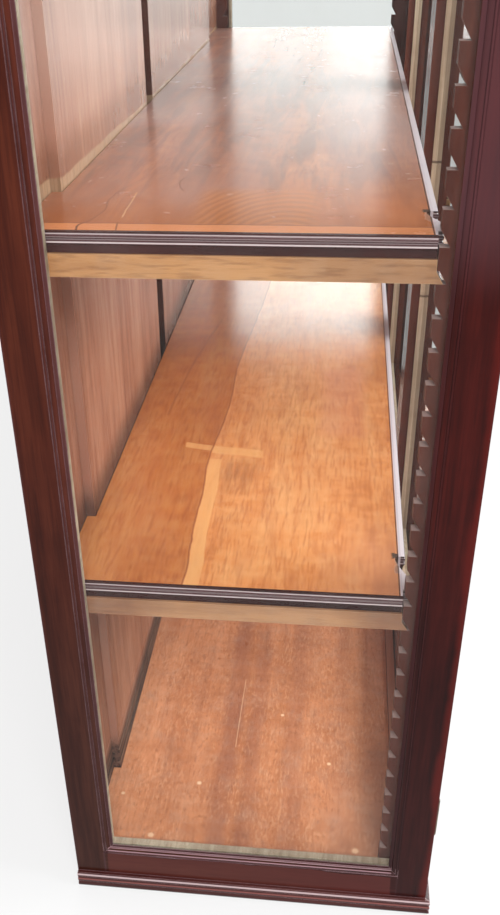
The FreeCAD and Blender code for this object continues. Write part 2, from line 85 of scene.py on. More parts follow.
# The same, as the display colour that shades() finds the surface's colour for
LOWER_SHELF_TONES = ((196, 110, 56), (242, 158, 92), (255, 184, 120))
UPPER_SHELF_TONES = ((132, 72, 40), (176, 102, 60), (204, 128, 80))
BOTTOM_BOARD_TONES = ((190, 118, 76), (218, 144, 100), (242, 168, 122))
BACK_TONES = ((150, 98, 76), (180, 125, 100), (202, 150, 124))
BEAD_TONES = ((148, 130, 108), (180, 164, 142), (206, 192, 168))
BEARER_TONES = ((140, 86, 44), (186, 126, 75), (208, 150, 98))

# Colours of dust, glass and the brown film on the doors' panes
DUST = (0.50, 0.40, 0.32)
CLEAR_GLASS = (0.965, 0.975, 0.97)
DOOR_FILM = (0.22, 0.10, 0.06)

# Metals: colour, tarnish and roughness
HINGE_BRASS = ((0.20, 0.16, 0.12), (0.06, 0.045, 0.035), 0.42)
BRASS = ((0.50, 0.36, 0.16), (0.16, 0.10, 0.05), 0.28)
STEEL = ((0.40, 0.39, 0.37), (0.16, 0.12, 0.09), 0.30)
SCREW_STEEL = ((0.34, 0.31, 0.28), (0.12, 0.09, 0.07), 0.34)
PIN_BRASS = ((0.46, 0.33, 0.15), (0.15, 0.10, 0.05), 0.30)

# Marks on the shelves' tops, as places along X and across Y
LOWER_JOINT = ((-1.03, 0.097), (-0.968, 0.096), (-0.912, 0.099), (-0.84, 0.101), (-0.746, 0.101),
               (-0.65, 0.105), (-0.586, 0.102), (-0.485, 0.095), (-0.375, 0.092), (-0.263, 0.095),
               (-0.157, 0.091), (-0.059, 0.085), (0.047, 0.078), (0.30, 0.066), (1.03, 0.05))
LOWER_SECOND_LINE = ((-0.47, 0.204), (-0.359, 0.198), (-0.26, 0.192), (-0.123, 0.178),
                     (0.03, 0.158))
UPPER_SCRATCH = ((-0.958, 0.157), (-0.90, 0.159), (-0.844, 0.161))
BOTTOM_SCRATCH = ((-0.765, 0.051), (-0.68, 0.0505), (-0.57, 0.049))

# Drawn marks: stations, half width, softness, strength. The crossbar's run along Y, then X.
LOWER_CROSSBAR = (
    (((0.014, -0.614), (0.100, -0.603)), 0.0110, 0.0050, 0.90),
    (((0.080, -0.603), (0.150, -0.590)), 0.0070, 0.0045, 0.80))
UPPER_CRACKS = (
    (((-1.022, 0.198), (-0.995, 0.203), (-0.986, 0.199)), 0.0008, 0.001, 0.9),
    (((-1.022, 0.153), (-0.984, 0.157)), 0.0005, 0.001, 0.7),
    (((-0.98, 0.196), (-0.93, 0.186), (-0.88, 0.190), (-0.80, 0.176)), 0.0005, 0.0014, 0.45),
    (((-0.83, 0.10), (-0.79, 0.112), (-0.76, 0.108)), 0.0006, 0.0014, 0.5))

# Bands: start, end, softness, strength. The bottom board's dark ones are across Y, and the
# painted highlights on reeds are measured up from the end frame's foot or down from a shelf's
# top.
BOTTOM_BANDS = ((0.058, 0.072, 0.022, 0.55), (0.010, 0.024, 0.016, 0.35),
                (-0.070, -0.056, 0.018, 0.35), (-0.155, -0.145, 0.02, 0.25))
END_REED_HIGHLIGHTS = ((0.0502, 0.0508, 0.0005, 0.75), (0.0532, 0.0556, 0.0010, 0.65),
                   (0.0592, 0.0604, 0.0008, 0.75))
EDGING_REED_HIGHLIGHTS = ((0.0026, 0.0034, 0.0006, 0.85), (0.0122, 0.0132, 0.0007, 0.95),
                      (0.0064, 0.0068, 0.0005, 0.4), (0.0094, 0.0098, 0.0005, 0.4))

# Chips in the bottom board: along, across, radius
BOTTOM_CHIPS = ((-0.994, 0.178, 0.007), (-0.994, -0.18, 0.008), (-0.865, 0.109, 0.006),
                (-0.903, 0.246, 0.005), (-0.669, -0.034, 0.005), (-0.794, -0.13, 0.005))

# Screw heads, as shares of the head's radius, and the turn of their slots in radians
HEAD_SIDES = 16
HEAD_TOP = 0.72
HEAD_HEIGHT = 0.3
SLOT_LENGTH = 2.2
SLOT_WIDTH = 0.3
SLOT_DEPTH = 0.2
SLOT_TURN_MOST = 3.1
SLOT_TURN_SEED = 4


def solved_camera():
    """Camera at the photograph's place, solved from the cabinet's straight edges."""
    away_from_left_face, across, above_base_moulding = -1.10895, -0.10844, 1.4373
    yaw, pitch, roll = (math.radians(angle) for angle in (7.216, 32.798, -1.281))
    focal, centre = 995.22, (222.33, 532.89)
    width, height = 500.0, 915.0
    sensor = 36.0
    nearest, farthest = 0.05, 60
    forward = Vector((math.cos(yaw) * math.cos(pitch), math.sin(yaw) * math.cos(pitch),
                      -math.sin(pitch)))
    level_right = Vector((math.sin(yaw), -math.cos(yaw), 0))
    level_up = level_right.cross(forward)
    right = math.cos(roll) * level_right + math.sin(roll) * level_up
    up = -math.sin(roll) * level_right + math.cos(roll) * level_up
    data = bpy.data.cameras.new("camera")
    data.sensor_fit = "VERTICAL"
    data.sensor_height = sensor
    data.lens = sensor * focal / height
    data.shift_x = (width / 2 - centre[0]) / height
    data.shift_y = (centre[1] - height / 2) / height
    data.clip_start, data.clip_end = nearest, farthest
    camera = bpy.data.objects.new("camera", data)
    place = Matrix((right, up, -forward)).transposed().to_4x4()
    place.translation = (LEFT_FACE + away_from_left_face, across,
                         FRAME_BOTTOM + above_base_moulding)
    camera.matrix_world = place
    bpy.context.scene.collection.objects.link(camera)
    bpy.context.scene.camera = camera


class Nodes:
    """Short calls for the node tree of a material or of the world."""

    def __init__(self, owner, output="ShaderNodeOutputMaterial", place="Object"):
        self.owner = owner
        owner.use_nodes = True
        self.tree = owner.node_tree
        self.tree.nodes.clear()
        self.out = self.add(output)
        self.coord = self.add("ShaderNodeTexCoord").outputs[place]

    def add(self, kind, **values):
        node = self.tree.nodes.new(kind)
        for key, value in values.items():
            setattr(node, key, value)
        return node

    def link(self, source, target):
        self.tree.links.new(source, target)

    def feed(self, value, socket):
        if isinstance(value, bpy.types.NodeSocket):
            self.link(value, socket)
        elif isinstance(value, tuple) and socket.type == "RGBA":
            socket.default_value = (*value, 1)
        else:
            socket.default_value = value

    def mapped(self, scale, move=(0, 0, 0)):
        node = self.add("ShaderNodeMapping")
        node.inputs["Scale"].default_value = scale
        node.inputs["Location"].default_value = move
        self.link(self.coord, node.inputs["Vector"])
        return node.outputs[0]

    def noise(self, where, scale, detail=4.0, roughness=0.55, distortion=0.0, kind="Fac"):
        node = self.add("ShaderNodeTexNoise")
        node.inputs["Scale"].default_value = scale
        node.inputs["Detail"].default_value = detail
        node.inputs["Roughness"].default_value = roughness
        node.inputs["Distortion"].default_value = distortion
        self.link(where, node.inputs["Vector"])
        return node.outputs[kind]

    def cloud(self, stretch, scale, first, last, detail=4.0, roughness=0.55, distortion=0.0,
              move=(0, 0, 0)):
        """Noise in stretched space, ramped between two stops of place and value."""
        where = self.mapped(stretch, move)
        return self.ramp(self.noise(where, scale, detail, roughness, distortion), first, last)

    def axes(self, names, wander=0.0, scale=30.0):
        """Places along the named axes, moved a little by noise so that a mark's edge wanders."""
        split = self.add("ShaderNodeSeparateXYZ")
        where = self.coord
        if wander:
            shift = self.add("ShaderNodeVectorMath", operation="SUBTRACT")
            self.link(self.noise(self.coord, scale, 3.0, 0.6, kind="Color"), shift.inputs[0])
            shift.inputs[1].default_value = (0.5, 0.5, 0.5)
            size = self.add("ShaderNodeVectorMath", operation="SCALE")
            self.link(shift.outputs[0], size.inputs[0])
            size.inputs["Scale"].default_value = wander
            total = self.add("ShaderNodeVectorMath", operation="ADD")
            self.link(self.coord, total.inputs[0])
            self.link(size.outputs[0], total.inputs[1])
            where = total.outputs[0]
        self.link(where, split.inputs[0])
        return [split.outputs[name] for name in names]

    def ramp(self, fac, *stops):
        node = self.add("ShaderNodeValToRGB")
        ramp = node.color_ramp
        while len(ramp.elements) < len(stops):
            ramp.elements.new(0.5)
        for element, (place, value) in zip(ramp.elements, stops):
            tone = (value,) * 3 if isinstance(value, (int, float)) else value
            element.position = place
            element.color = (*tone, 1)
        self.link(fac, node.inputs["Fac"])
        return node.outputs["Color"]

    def graded(self, value, start, end, first, last, steps="LINEAR"):
        """First value at one place and last value at another."""
        node = self.add("ShaderNodeMapRange", interpolation_type=steps)
        for key, number in (("From Min", start), ("From Max", end), ("To Min", first),
                            ("To Max", last)):
            node.inputs[key].default_value = number
        self.link(value, node.inputs["Value"])
        return node.outputs["Result"]

    def rise(self, value, start, end, last=1.0):
        """Smooth step from nothing at one place to the last value at another."""
        return self.graded(value, start, end, 0.0, last, "SMOOTHSTEP")

    def band(self, value, start, end, soft, last=1.0):
        """A smooth band between two places."""
        return self.times(self.rise(value, start - soft, start, last),
                          self.rise(value, end + soft, end))

    def bands(self, value, rows):
        return self.most(*(self.band(value, *row) for row in rows))

    def route(self, along, stations):
        """Height of a drawn line through stations, for places along it."""
        headroom = 0.01
        heights = [height for _, height in stations]
        low, high = min(heights) - headroom, max(heights) + headroom
        first, last = stations[0][0], stations[-1][0]
        share = self.graded(along, first, last, 0.0, 1.0)
        curve = self.add("ShaderNodeFloatCurve")
        points = curve.mapping.curves[0].points
        places = [((place - first) / (last - first), (height - low) / (high - low))
                  for place, height in stations]
        points[0].location = places[0]
        points[1].location = places[-1]
        for place in places[1:-1]:
            points.new(*place)
        curve.mapping.update()
        self.link(share, curve.inputs["Value"])
        return self.plus(self.times(curve.outputs[0], high - low), low)

    def stroke(self, along, across, stations, half_width, soft, last=1.0):
        """A thin mark that follows stations."""
        soft_ends = 0.004
        gap = self.math("ABSOLUTE", self.minus(across, self.route(along, stations)))
        line = self.rise(gap, half_width + soft, half_width, last)
        return self.times(line, self.band(along, stations[0][0], stations[-1][0], soft_ends))

    def strokes(self, along, across, rows):
        return self.most(*(self.stroke(along, across, *row) for row in rows))

    def spot(self, centre, radius):
        """A small round mark, full over the middle part of its radius."""
        full = radius * 0.4
        gap = self.add("ShaderNodeVectorMath", operation="DISTANCE")
        self.link(self.coord, gap.inputs[0])
        gap.inputs[1].default_value = centre
        return self.rise(gap.outputs["Value"], radius, full)

    def mix(self, fac, first, second, blend="MIX"):
        node = self.add("ShaderNodeMix", data_type="RGBA", blend_type=blend)
        for value, socket in ((fac, node.inputs[0]), (first, node.inputs[6]),
                              (second, node.inputs[7])):
            self.feed(value, socket)
        return node.outputs[2]

    def math(self, operation, first, second=0.0, clamp=False):
        node = self.add("ShaderNodeMath", operation=operation, use_clamp=clamp)
        self.feed(first, node.inputs[0])
        self.feed(second, node.inputs[1])
        return node.outputs[0]

    def plus(self, first, second, clamp=False):
        return self.math("ADD", first, second, clamp)

    def minus(self, first, second, clamp=False):
        return self.math("SUBTRACT", first, second, clamp)

    def times(self, *values):
        product = values[0]
        for value in values[1:]:
            product = self.math("MULTIPLY", product, value)
        return product

    def most(self, *masks):
        """The strongest of several masks."""
        strongest = masks[0]
        for mask in masks[1:]:
            strongest = self.math("MAXIMUM", strongest, mask)
        return strongest

    def bump(self, height, strength, distance):
        node = self.add("ShaderNodeBump")
        node.inputs["Strength"].default_value = strength
        node.inputs["Distance"].default_value = distance
        self.link(height, node.inputs["Height"])
        return node.outputs["Normal"]

    def facing(self, axis, way=1.0):
        """How far the surface faces along an axis, or against it."""
        begins, full = 0.2 * way, 0.8 * way
        geometry = self.add("ShaderNodeNewGeometry")
        split = self.add("ShaderNodeSeparateXYZ")
        self.link(geometry.outputs["Normal"], split.inputs[0])
        return self.rise(split.outputs[axis], begins, full)

    def arris_mask(self, width):
        """Painted highlights and wear on sharp arrises, from how far the rounded normal leaves
        the true one.
        """
        bevel = self.add("ShaderNodeBevel", samples=4)
        bevel.inputs["Radius"].default_value = width
        geometry = self.add("ShaderNodeNewGeometry")
        dot = self.add("ShaderNodeVectorMath", operation="DOT_PRODUCT")
        self.link(bevel.outputs[0], dot.inputs[0])
        self.link(geometry.outputs["True Normal"], dot.inputs[1])
        return self.minus(1.0, dot.outputs["Value"], clamp=True)

    def blended(self, share, first, second):
        """Two shaders mixed by a share."""
        node = self.add("ShaderNodeMixShader")
        for source, socket in zip((share, first, second), node.inputs):
            self.link(source, socket)
        return node.outputs[0]

    def principled(self, **values):
        node = self.add("ShaderNodeBsdfPrincipled")
        for key, value in values.items():
            self.feed(value, node.inputs[key.replace("_", " ")])
        return node.outputs[0]

    def finish(self, shader):
        self.link(shader, self.out.inputs["Surface"])
        return self.owner


def material_nodes(name):
    return Nodes(bpy.data.materials.new(name))


def shade(red, green, blue, level=INSIDE_LIGHT):
    """Surface colour that shows as the given display colour where the light is at that level."""
    def linear(value):
        """The display's own curve, undone."""
        value /= 255.0
        return value / 12.92 if value <= 0.04045 else ((value + 0.055) / 1.055) ** 2.4
    return tuple(min(BRIGHTEST_PAINT, linear(value) / level) for value in (red, green, blue))


def shades(tones, level=INSIDE_LIGHT):
    return [shade(*tone, level=level) for tone in tones]


def stretched(grain, along, across=1.0):
    """Scale of a noise along the grain and across it."""
    return tuple(along if axis == grain else across for axis in "XYZ")


class Board:
    """A wood's colour as it is built up: figure, streaks, pores, then marks, dust and polish."""

    def __init__(self, name, grain, tones, figure=1.0, streak=0.3, ripple=0.2, pores=0.35,
                 blotch=0.3):
        dark, mid, light = tones
        self.n = n = material_nodes(name)
        along = n.mapped(stretched(grain, 0.06))
        self.streaks = n.noise(along, STREAK_SCALE, 4.0, 0.65, 0.2)
        self.pore = n.noise(n.mapped(stretched(grain, 0.05 if grain == "Z" else 0.12)),
                            PORE_SCALE, 2.0)
        rippled = n.noise(n.mapped(stretched(grain, 1.0, 0.5)), RIPPLE_SCALE, 4.0, 0.6)
        whole = n.times(n.noise(along, FIGURE_SCALE * figure, 3.0, 0.55, 0.6),
                        1.0 - streak - ripple)
        whole = n.plus(whole, n.times(self.streaks, streak))
        whole = n.plus(whole, n.times(rippled, ripple))
        self.colour = n.ramp(whole, (0.38, dark), (0.5, mid), (0.62, light))
        self.stain(n.times(n.ramp(self.pore, (0.5, 0.0), (0.66, 1.0)), pores), dark)
        patches = n.noise(n.coord, PATCH_SCALE, 3.0, 0.6)
        self.stain(n.ramp(patches, (0.4, 0.0), (0.7, blotch)), dark)
        self.rougher = None

    def stain(self, mask, colour):
        self.colour = self.n.mix(mask, self.colour, colour)

    def deepen(self, mask, factor):
        """Multiplies the wood's colour where the mask is."""
        self.colour = self.n.mix(mask, self.colour, factor, "MULTIPLY")

    def dull(self, mask):
        self.rougher = mask if self.rougher is None else self.n.most(self.rougher, mask)

    # Paler arrises: wear on some woods, painted highlights on the mahogany ones
    def wear_and_highlight(self, colour, width=0.0015, strength=0.8, where=None):
        n = self.n
        edges = n.times(n.arris_mask(width), n.noise(n.coord, WEAR_SCALE, 3.0))
        mask = n.ramp(edges, (0.03, 0.0), (0.16, strength))
        self.stain(mask if where is None else n.times(mask, where), colour)

    def dust(self, amount):
        n = self.n
        spread = n.ramp(n.noise(n.coord, DUST_SCALE, 6.0, 0.75), (0.46, 0.0), (0.76, 0.8))
        specks = n.ramp(n.noise(n.coord, SPECK_SCALE, 2.0), (0.68, 0.0), (0.73, 1.0))
        grey = n.math("MULTIPLY", n.plus(spread, specks), amount, clamp=True)
        self.stain(grey, DUST)
        self.dull(grey)

    def polish(self, rough, gloss=0.5, relief=0.12):
        n = self.n
        uneven, duller, pore_depth = 0.16, 0.4, 0.0006
        roughness = n.plus(rough, n.times(n.noise(n.coord, SHEEN_SCALE, 5.0, 0.7), uneven))
        if self.rougher is not None:
            roughness = n.plus(roughness, n.times(self.rougher, duller), clamp=True)
        height = n.plus(n.times(self.streaks, 0.5), n.times(self.pore, 0.5))
        return n.finish(n.principled(
            Base_Color=self.colour, Roughness=roughness, Specular_IOR_Level=gloss,
            Normal=n.bump(height, relief, pore_depth)))


def door_mahogany(grain):
    """Brown-red doors and front rails, with painted light on the stop's top and on faces turned
    inward and toward the near end.
    """
    marked, inward_painted_light, arris_wear_and_highlight = shade(196, 142, 116), (0.200, 0.050, 0.026), (0.30, 0.16, 0.13)
    board = Board("door_mahogany_" + grain, grain, DOOR_TONES, streak=0.45, ripple=0.05)
    n = board.n
    y, z = n.axes("YZ")
    # Painted light on the up-facing top of the stop
    stop = n.times(n.rise(y, STOP_START, STOP_START + 0.0008),
                   n.rise(z, ABOVE_STOP + 0.01, ABOVE_STOP))
    board.stain(n.times(stop, n.facing("Z")), marked)
    # Painted light on the faces turned inward and those turned toward the near end
    board.stain(n.times(n.most(n.facing("Y"), n.facing("X", -1.0)), 0.65), inward_painted_light)
    # Painted highlights on the arrises, with some wear
    board.wear_and_highlight(arris_wear_and_highlight, strength=0.5)
    return board.polish(0.16, gloss=0.06)


def frame_mahogany(grain):
    """Red mahogany: deep red in front, browner behind, darker and duller near the ground, with
    painted sheen and highlights.
    """
    deep_red, purple_sheen = (0.115, 0.0080, 0.0050), (0.105, 0.045, 0.052)
    rail_red, reed_highlight = (0.150, 0.032, 0.026), (0.52, 0.31, 0.34)
    soft_highlight, arris_wear_and_highlight = (0.095, 0.044, 0.053), (0.42, 0.27, 0.29)
    rail_top = FRAME_BOTTOM + END_RAIL_FLAT
    board = Board("frame_mahogany_" + grain, grain, FRAME_TONES, streak=0.45, ripple=0.05)
    n = board.n
    y, z = n.axes("YZ", wander=0.03, scale=6.0)
    board.deepen(n.rise(y, 0.12, -0.26), (0.74, 0.34, 0.50))
    board.deepen(n.rise(z, 0.95, 0.25, 0.9), (0.62, 0.92, 1.25))
    board.stain(n.rise(y, FRONT_FACE + 0.014, FRONT_FACE + 0.002, 0.5), deep_red)
    # Painted sheen high on the front stile
    board.stain(n.times(n.rise(z, 1.06, 1.18, 0.45), n.rise(y, -0.20, -0.24)), purple_sheen)
    backward = n.rise(y, -0.12, 0.12, 0.45)
    lowest = n.band(z, FRAME_BOTTOM + 0.052, FRAME_BOTTOM + 0.070, 0.002, 0.9)
    between_stiles = n.band(y, -HALF_BETWEEN_STILES, HALF_BETWEEN_STILES, 0.003)
    rail_face = n.band(z, FRAME_BOTTOM - 0.001, rail_top, 0.001, 0.36)
    board.stain(n.times(rail_face, between_stiles), rail_red)
    # Painted soft highlights along the mouldings, stronger toward the back
    board.wear_and_highlight(soft_highlight, width=0.006, where=n.plus(backward, 0.22), strength=1.0)
    # Painted highlights on the arrises toward the back and along the bottom rail
    arrises = n.times(n.most(backward, lowest), n.rise(z, rail_top - 0.003, rail_top + 0.003))
    board.wear_and_highlight(arris_wear_and_highlight, where=arrises, strength=0.9)
    # Painted highlights along the bottom rail's reeds
    reeds = n.bands(n.minus(n.axes("Z")[0], FRAME_BOTTOM), END_REED_HIGHLIGHTS)
    board.stain(n.times(reeds, between_stiles, n.facing("X", -1.0)), reed_highlight)
    return board.polish(0.12, gloss=0.12)


def moulding_mahogany(grain):
    """The reeded mouldings, more polished than the frames, with a thin painted highlight along
    each reed.
    """
    soft_highlight, crest_highlight = (0.085, 0.036, 0.040), (0.40, 0.24, 0.25)
    middle_reed_highlight, top_reed_highlight = (0.30, 0.095, 0.085), (0.52, 0.38, 0.39)
    board = Board("moulding_mahogany_" + grain, grain, MOULDING_TONES, streak=0.4, ripple=0.05)
    # Painted soft highlights along the arrises
    board.wear_and_highlight(soft_highlight, width=0.004)
    n = board.n
    # Painted highlights on the crests and along the middle and top reeds
    board.stain(n.ramp(n.arris_mask(0.0013), (0.02, 0.0), (0.14, 0.8)), crest_highlight)
    height = n.axes("Z", wander=0.0005, scale=12.0)[0]
    board.stain(n.band(height, 0.0172, 0.0190, 0.0012, 0.6), middle_reed_highlight)
    board.stain(n.band(height, 0.0282, 0.0304, 0.0012, 0.9), top_reed_highlight)
    return board.polish(0.09, gloss=0.25, relief=0.03)


def edging_mahogany(grain):
    """Reeded shelf edging: dark, with painted highlights on the crest of each reed and a painted
    reflection on its front top.
    """
    hollow, crest, top_reflection = (0.115, 0.052, 0.058), (0.60, 0.47, 0.48), (0.76, 0.69, 0.74)
    board = Board("edging_mahogany_" + grain, grain, EDGING_TONES, streak=0.4, ripple=0.05)
    n = board.n
    x, y, z = n.axes("XYZ", wander=0.0004, scale=12.0)
    for top in (LOWER_TOP, UPPER_TOP):
        below = n.minus(top, z)
        board.stain(n.band(below, 0.0045, 0.0120, 0.0012, 0.55), hollow)
        # Painted highlights on the reeds' crests
        board.stain(n.bands(below, EDGING_REED_HIGHLIGHTS), crest)
    front_run = n.times(n.band(y, SHELF_FRONT + 0.0015, SHELF_FRONT + 0.0080, 0.0008),
                        n.rise(x, -1.005, -0.995))
    # Painted reflection on the top of the front run
    board.stain(n.times(front_run, n.facing("Z")), top_reflection)
    return board.polish(0.09, gloss=0.15, relief=0.02)


def front_margin(board):
    """A painted reflection along the shelf's front edge, like the one on the edging's top, with a
    dark joint behind it.
    """
    polish, joint = shade(226, 214, 222), shade(62, 38, 36)
    n = board.n
    y = n.axes("Y", wander=0.0006, scale=12.0)[0]
    # Painted reflection along the front edge
    board.stain(n.rise(y, SHELF_FRONT + 0.0108, SHELF_FRONT + 0.0100), polish)
    board.stain(n.band(y, SHELF_FRONT + 0.0112, SHELF_FRONT + 0.0122, 0.0008, 0.85), joint)


def torn_edge(board):
    """Raw torn wood round the bite in a shelf's front edge, with a dark cleft at its far end."""
    raw_wood, shadow = shade(158, 112, 88), shade(80, 58, 46)
    bite_start, bite_end, cleft_start, cleft_end, soft = -0.958, -0.922, -0.920, -0.910, 0.003
    n = board.n
    x, y = n.axes("XY", wander=0.012, scale=70.0)
    raw = n.times(n.band(x, bite_start, bite_end, soft), n.rise(y, -0.206, -0.210))
    cleft = n.times(n.band(x, cleft_start, cleft_end, soft), n.rise(y, -0.200, -0.205))
    board.stain(raw, raw_wood)
    board.stain(cleft, shadow)
    board.dull(raw)


def shelf_board(name, tones):
    """Wide plain boards with the grain along the cabinet."""
    board = Board(name, "X", shades(tones), figure=0.75, streak=0.22, ripple=0.26, pores=0.42,
                  blotch=0.22)
    clouds = board.n.cloud((0.5, 1.0, 1.0), 11.0, (0.48, 0.0), (0.66, 0.75), roughness=0.6)
    board.deepen(clouds, (0.82, 0.74, 0.68))
    return board


def lower_shelf_wood():
    """Orange shelf of two boards, with a pale tongue along the joint and a patch across it."""
    board = shelf_board("lower_shelf_wood", LOWER_SHELF_TONES)
    n = board.n
    x, y = n.axes("XY", wander=0.006)
    behind = n.minus(y, n.route(x, LOWER_JOINT))
    board.deepen(n.rise(behind, -0.001, 0.003), (0.70, 0.58, 0.46))
    figure = n.cloud((0.22, 1.0, 1.0), 34.0, (0.50, 0.0), (0.64, 0.32), roughness=0.6,
                     distortion=1.0)
    board.stain(figure, shade(196, 112, 62))
    near_front = n.times(n.rise(y, -0.10, -0.20, 0.5), n.rise(x, -0.75, -0.95))
    board.stain(near_front, shade(200, 138, 105))
    reddish_patch = n.times(n.band(x, -0.51, -0.26, 0.05), n.band(y, -0.152, -0.10, 0.03, 0.35))
    board.stain(reddish_patch, shade(222, 138, 104))
    tongue = n.times(n.band(x, -1.03, -0.640, 0.004), n.band(behind, -0.0225, -0.003, 0.0015))
    crossbar = n.strokes(y, x, LOWER_CROSSBAR)
    worn_through = n.ramp(board.streaks, (0.40, 0.72), (0.58, 1.0))
    shadow = n.times(n.band(y, 0.020, 0.080, 0.012), n.band(x, -0.700, -0.645, 0.02, 0.35))
    streaky = n.ramp(board.streaks, (0.45, 0.3), (0.58, 1.0))
    board.stain(n.times(shadow, streaky), shade(170, 104, 58))
    board.stain(n.times(n.most(tongue, crossbar), worn_through, 0.92), shade(253, 186, 118))
    # Painted sheen toward the far end
    board.stain(n.rise(x, -0.20, 0.40, 0.16), shade(252, 228, 212))
    joint_line = n.stroke(x, y, LOWER_JOINT, 0.0007, 0.0013, 0.75)
    second_line = n.stroke(x, y, LOWER_SECOND_LINE, 0.0008, 0.0022, 0.45)
    board.stain(n.most(joint_line, second_line), shade(150, 80, 44))
    marked = n.times(n.band(x, -0.752, -0.655, 0.01), n.band(y, 0.02, 0.07, 0.01, 0.25))
    broken = n.ramp(board.streaks, (0.45, 0.0), (0.6, 1.0))
    board.stain(n.times(marked, broken), shade(150, 90, 58))
    torn_edge(board)
    front_margin(board)
    board.dust(0.06)
    return board.polish(0.13, relief=0.06)


def upper_shelf_wood():
    """Browner shelf with a bright cross strip at its near end, short cracks and arched grain."""
    strip_end = -0.9855
    board = shelf_board("upper_shelf_wood", UPPER_SHELF_TONES)
    n = board.n
    x, y = n.axes("XY", wander=0.006)
    figure = n.cloud((0.11, 1.0, 1.0), 34.0, (0.44, 0.0), (0.62, 0.8), detail=5.0,
                     roughness=0.65, distortion=0.8)
    board.stain(figure, shade(126, 71, 45))
    board.stain(n.rise(x, -0.66, -0.98, 0.6), shade(194, 112, 62))
    # Painted sheen in cloudy patches, and a brighter painted sheen toward the front
    cloudy = n.cloud((0.25, 1.0, 1.0), 8.0, (0.40, 0.6), (0.60, 1.0), detail=2.0,
                     roughness=0.5)
    sheen_patches = n.most(n.times(n.band(x, -0.84, 0.9, 0.14), n.band(y, 0.03, 0.30, 0.07, 0.14)),
                   n.times(n.band(x, -0.30, 0.9, 0.25), n.band(y, 0.13, 0.30, 0.06, 0.32)),
                   n.times(n.rise(x, -1.04, -0.40, 0.40), n.rise(y, -0.03, -0.13)))
    board.stain(n.times(sheen_patches, cloudy), shade(226, 204, 202))
    front_sheen = n.times(n.rise(x, -0.70, 0.10, 0.20), n.band(y, -0.160, -0.090, 0.075))
    board.stain(front_sheen, shade(253, 248, 250))
    rings = n.add("ShaderNodeTexWave", wave_type="RINGS", rings_direction="Z")
    n.link(n.mapped((0.5, 1.0, 1.0), move=(0.53, 0.045, 0.0)), rings.inputs["Vector"])
    for key, value in (("Scale", 30.0), ("Distortion", 2.2), ("Detail", 2.0),
                       ("Detail Scale", 1.2)):
        rings.inputs[key].default_value = value
    arched = n.times(n.band(x, -1.0, -0.86, 0.06), n.band(y, -0.06, 0.055, 0.03))
    board.stain(n.times(arched, 0.7), shade(206, 124, 64))
    board.stain(n.times(arched, rings.outputs["Fac"], 0.42), shade(138, 80, 44))
    board.stain(n.rise(x, strip_end + 0.0015, strip_end - 0.0015, 0.8), shade(240, 153, 98))
    seam = n.band(x, strip_end - 0.001, strip_end + 0.001, 0.001, 0.6)
    board.stain(n.most(seam, n.strokes(x, y, UPPER_CRACKS)), shade(105, 58, 36))
    board.stain(n.stroke(x, y, UPPER_SCRATCH, 0.0006, 0.001, 0.6), shade(245, 190, 140))
    torn_edge(board)
    front_margin(board)
    board.dust(0.04)
    return board.polish(0.17, gloss=0.12, relief=0.03)


def bottom_board_wood():
    """Mottled floor of the cabinet with dark bands, chips and a dusty margin by the end glass."""
    board = shelf_board("bottom_board_wood", BOTTOM_BOARD_TONES)
    n = board.n
    x, y = n.axes("XY", wander=0.02, scale=9.0)
    flecks = n.cloud((0.30, 1.0, 1.0), 230.0, (0.52, 0.0), (0.62, 0.40), detail=3.0,
                     roughness=0.7)
    gathered = n.ramp(n.noise(n.coord, 12.0, 3.0), (0.35, 0.15), (0.60, 1.0))
    board.stain(n.times(flecks, gathered), shade(250, 190, 146))
    grains = n.cloud((0.5, 1.0, 1.0), 160.0, (0.58, 0.0), (0.70, 0.4), detail=2.0,
                     roughness=0.6)
    board.stain(grains, shade(150, 86, 52))
    uneven = n.cloud((0.4, 1.0, 1.0), 9.0, (0.35, 0.4), (0.6, 1.0), detail=3.0)
    board.stain(n.times(n.bands(y, BOTTOM_BANDS), uneven), shade(142, 84, 70))
    near_front = n.times(n.rise(y, -0.10, -0.22, 0.4), n.rise(x, -0.65, -0.95))
    board.stain(near_front, shade(178, 132, 110))
    scratch = n.stroke(*n.axes("XY"), BOTTOM_SCRATCH, 0.0005, 0.0010, 0.45)
    chips = n.most(*(n.spot((along, across, FLOOR_BOARD_TOP), radius)
                     for along, across, radius in BOTTOM_CHIPS))
    board.stain(n.most(scratch, chips), shade(250, 205, 165))
    margin = n.rise(x, -1.000, -1.012, 0.75)
    board.stain(margin, shade(168, 134, 116))
    board.dull(margin)
    board.dust(0.30)
    return board.polish(0.22, gloss=0.4)


